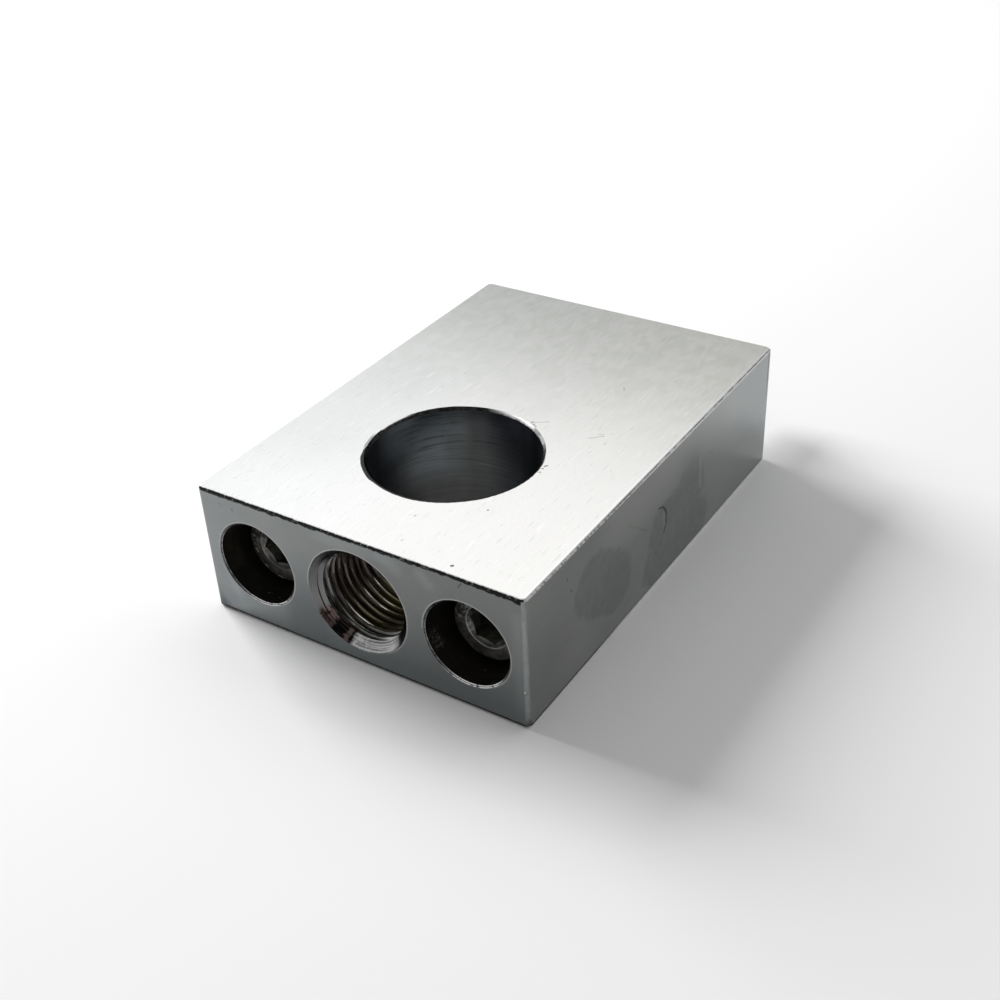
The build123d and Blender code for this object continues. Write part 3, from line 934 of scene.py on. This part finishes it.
def finishOf(centre, normal):
    # which finish a face of the block has, from its place and the way it faces
    plan = blockPlan
    x, y, z = (c / mm for c in centre)
    fromPort = math.hypot(x, z)
    fromBore = math.hypot(x, y)
    fromCounterbore = math.hypot(abs(x) - plan["counterboreCentre"], z)
    atRim, near, square = plan["rimReach"], plan["near"], plan["square"]
    inPort = plan["front"] + 0.001 < y < plan["portEnd"] and abs(z) < plan["portReach"]
    slantedUp = abs(abs(normal.z) - plan["slanted"]) < near
    slantedForward = abs(normal.y + plan["slanted"]) < near
    if fromPort < plan["portRadius"] and inPort:
        return "mouth" if y < plan["portMouthEnd"] else "thread"
    if abs(fromBore - plan["boreRadius"]) < 0.2 and abs(normal.z) < 0.2:
        return "bore"
    if fromBore < plan["boreRadius"] + atRim and slantedUp:
        return "boreRim"
    if fromCounterbore < plan["counterboreRadius"] + atRim and slantedForward and y < plan["front"] + atRim:
        return "rim"
    if fromCounterbore < plan["counterboreRadius"] + near and y > plan["front"] + 0.01:
        if abs(normal.y) < square or y < plan["seat"] + near:
            return "hole"
    if abs(normal.z) > square:
        return "ground"
    if abs(normal.z) < near:
        if 0.25 < abs(normal.y) < 0.97:
            return "upright"
        return "end" if abs(normal.y) > 0.9 else "side"
    return "darkEdge" if abs(normal.y) > abs(normal.x) else "paleEdge"


def makeBlock():
    block = copyNode("collar_block", "collarBlock")
    cutWith(block, threadCutter("portTap", portThread))
    finishes = {
        "ground": groundSteel(), "end": satinEnds(), "side": satinSides(), "darkEdge": darkEdge(),
        "paleEdge": paleEdge(), "upright": uprightEdge(), "bore": boredSteel(), "boreRim": boreRim(),
        "rim": counterboreRim(), "hole": holeSteel(), "mouth": turnedMouth(), "thread": oiledThread(),
    }
    order = list(finishes)
    for finish in order:
        block.data.materials.append(finishes[finish])
    for face in block.data.polygons:
        face.material_index = order.index(finishOf(face.center, face.normal))
    selectOnly(block)
    bpy.ops.object.shade_smooth_by_angle(angle=smoothBelow)
    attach(block, "root")
    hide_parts("collar_block")
    print("block", len(block.data.polygons), "faces")


def makeScrews():
    screws = copyNode("cap_screws", "capScrews")
    for centreX, centreZ in screwThread["centres"]:
        cutWith(screws, threadCutter("dieCut", screwThread, centreX, centreZ))
    # the cuts leave a few slivers
    openMesh(screws)
    bpy.ops.mesh.dissolve_degenerate(threshold=sliverSize)
    closeMesh()
    screws.data.materials.append(darkScrewSteel())
    for face in screws.data.polygons:
        face.material_index = 0
    selectOnly(screws)
    bpy.ops.object.shade_smooth_by_angle(angle=smoothBelow)
    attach(screws, "root")
    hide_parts("cap_screws")
    print("screws", len(screws.data.polygons), "faces")


def seenRays(tree):
    # 1 where the camera sees a surface, itself or in metal or glass
    path = tree.nodes.new("ShaderNodeLightPath")
    seen = calc(tree, "MAXIMUM", path.outputs["Is Camera Ray"], path.outputs["Is Glossy Ray"])
    return calc(tree, "MAXIMUM", seen, path.outputs["Is Transmission Ray"])


def makeFloor(level):
    bpy.ops.mesh.primitive_plane_add(size=floorLook["size"] * mm, location=(0, 0, level))
    floor = bpy.context.object
    floor.name = "floor"
    material = bpy.data.materials.new("paleFloor")
    material.use_nodes = True
    tree = material.node_tree
    shader = tree.nodes["Principled BSDF"]
    shader.inputs["Base Color"].default_value = floorLook["colour"]
    shader.inputs["Roughness"].default_value = floorLook["roughness"]
    shader.inputs["Specular IOR Level"].default_value = 0.0
    white = addNode(tree, "Emission", {"Color": (1, 1, 1, 1), "Strength": 1.0})
    share = calc(tree, "MULTIPLY", seenRays(tree), floorLook["seenShare"])
    mixed = addNode(tree, "MixShader", {0: share, 1: shader.outputs[0], 2: white.outputs[0]})
    tree.links.new(mixed.outputs[0], tree.nodes["Material Output"].inputs["Surface"])
    floor.data.materials.append(material)


def makeWorld():
    world = bpy.data.worlds.new("studio")
    bpy.context.scene.world = world
    world.use_nodes = True
    tree = world.node_tree
    ambient = tree.nodes["Background"]
    ambient.inputs["Color"].default_value = (1, 1, 1, 1)
    ambient.inputs["Strength"].default_value = lights["worldLevel"]
    pale = addNode(tree, "Background", {"Color": (1, 1, 1, 1), "Strength": lights["worldSeen"]})
    mixed = addNode(tree, "MixShader", {0: seenRays(tree), 1: ambient.outputs[0], 2: pale.outputs[0]})
    tree.links.new(mixed.outputs[0], tree.nodes["World Output"].inputs["Surface"])


def addSoftbox(name):
    lamp = bpy.data.lights.new(name, "AREA")
    lamp.shape = "RECTANGLE"
    lamp.size, lamp.size_y = (s * mm for s in lights[name + "Size"])
    lamp.energy = lights[name + "Power"]
    softbox = bpy.data.objects.new(name, lamp)
    bpy.context.scene.collection.objects.link(softbox)
    softbox.location = [p * mm for p in lights[name + "Place"]]
    direction = softbox.location - Vector([a * mm for a in lights["aim"]])
    softbox.rotation_euler = direction.to_track_quat("Z", "Y").to_euler()


def makeCamera():
    camera = bpy.data.objects.new("camera", bpy.data.cameras.new("camera"))
    bpy.context.scene.collection.objects.link(camera)
    camera.location = tuple(p * mm for p in view["place"])
    camera.rotation_euler = tuple(math.radians(t) for t in view["turn"])
    camera.data.lens = view["lens"]
    camera.data.sensor_width = view["sensor"]
    camera.data.clip_start = view["nearest"] * mm
    bpy.context.scene.camera = camera


bpy.context.scene.view_settings.view_transform = "Standard"
makeCamera()
makeBlock()
makeScrews()
makeFloor(cadBox[0][2])
makeWorld()
addSoftbox("window")
addSoftbox("panel")
print("lights and camera are set")
